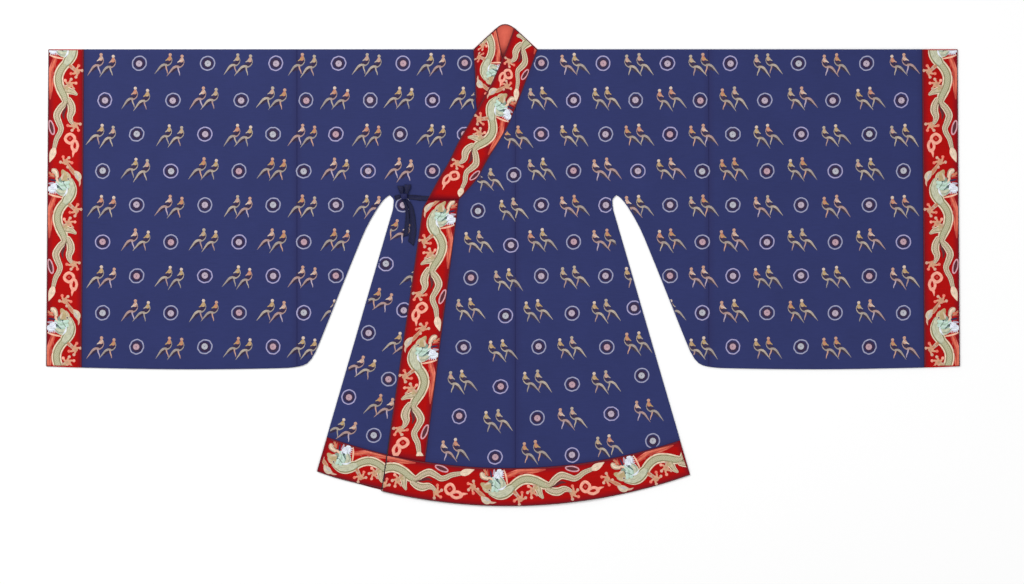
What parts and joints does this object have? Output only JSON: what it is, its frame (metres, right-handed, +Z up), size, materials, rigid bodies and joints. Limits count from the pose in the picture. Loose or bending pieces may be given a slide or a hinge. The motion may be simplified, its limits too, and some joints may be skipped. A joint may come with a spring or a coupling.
{
  "type": "hanfu robe",
  "caption": "Cross-collar robe with wide sleeves and a tied side bow, laid flat: navy brocade with woven motifs and red bands at collar, front edge, cuffs and hem.",
  "frame": {"origin": "middle of the laid-out robe's outline, on the surface it lies on", "axes": "+X to the wearer's left along the sleeves, +Y from hem to collar, +Z up from the back of the robe to its front"},
  "size_m": [2.192, 1.1566, 0.011],
  "materials": {
    "brocade": "figured silk brocade, soft sheen",
    "border": "red satin-woven silk with embroidered figures",
    "tie_ribbon": "matt dark silk ribbon"
  },
  "bodies": {
    "root": {"body_left": "brocade", "body_right": "brocade", "overlap_outer": "brocade", "overlap_inner": "brocade", "sleeve_left": "brocade", "sleeve_right": "brocade", "cuff_left": "border", "cuff_right": "border", "collar": "border", "front_band": "border", "hem_band_back": "border", "hem_band_inner": "border", "hem_band_outer": "border", "tie_strap_front": "tie_ribbon", "tie_strap_side": "tie_ribbon", "tie_tail_front": "tie_ribbon", "tie_tail_side": "tie_ribbon", "tie_loop_left": "tie_ribbon", "tie_loop_right": "tie_ribbon", "tie_knot": "tie_ribbon"}
  },
  "joints": []
}
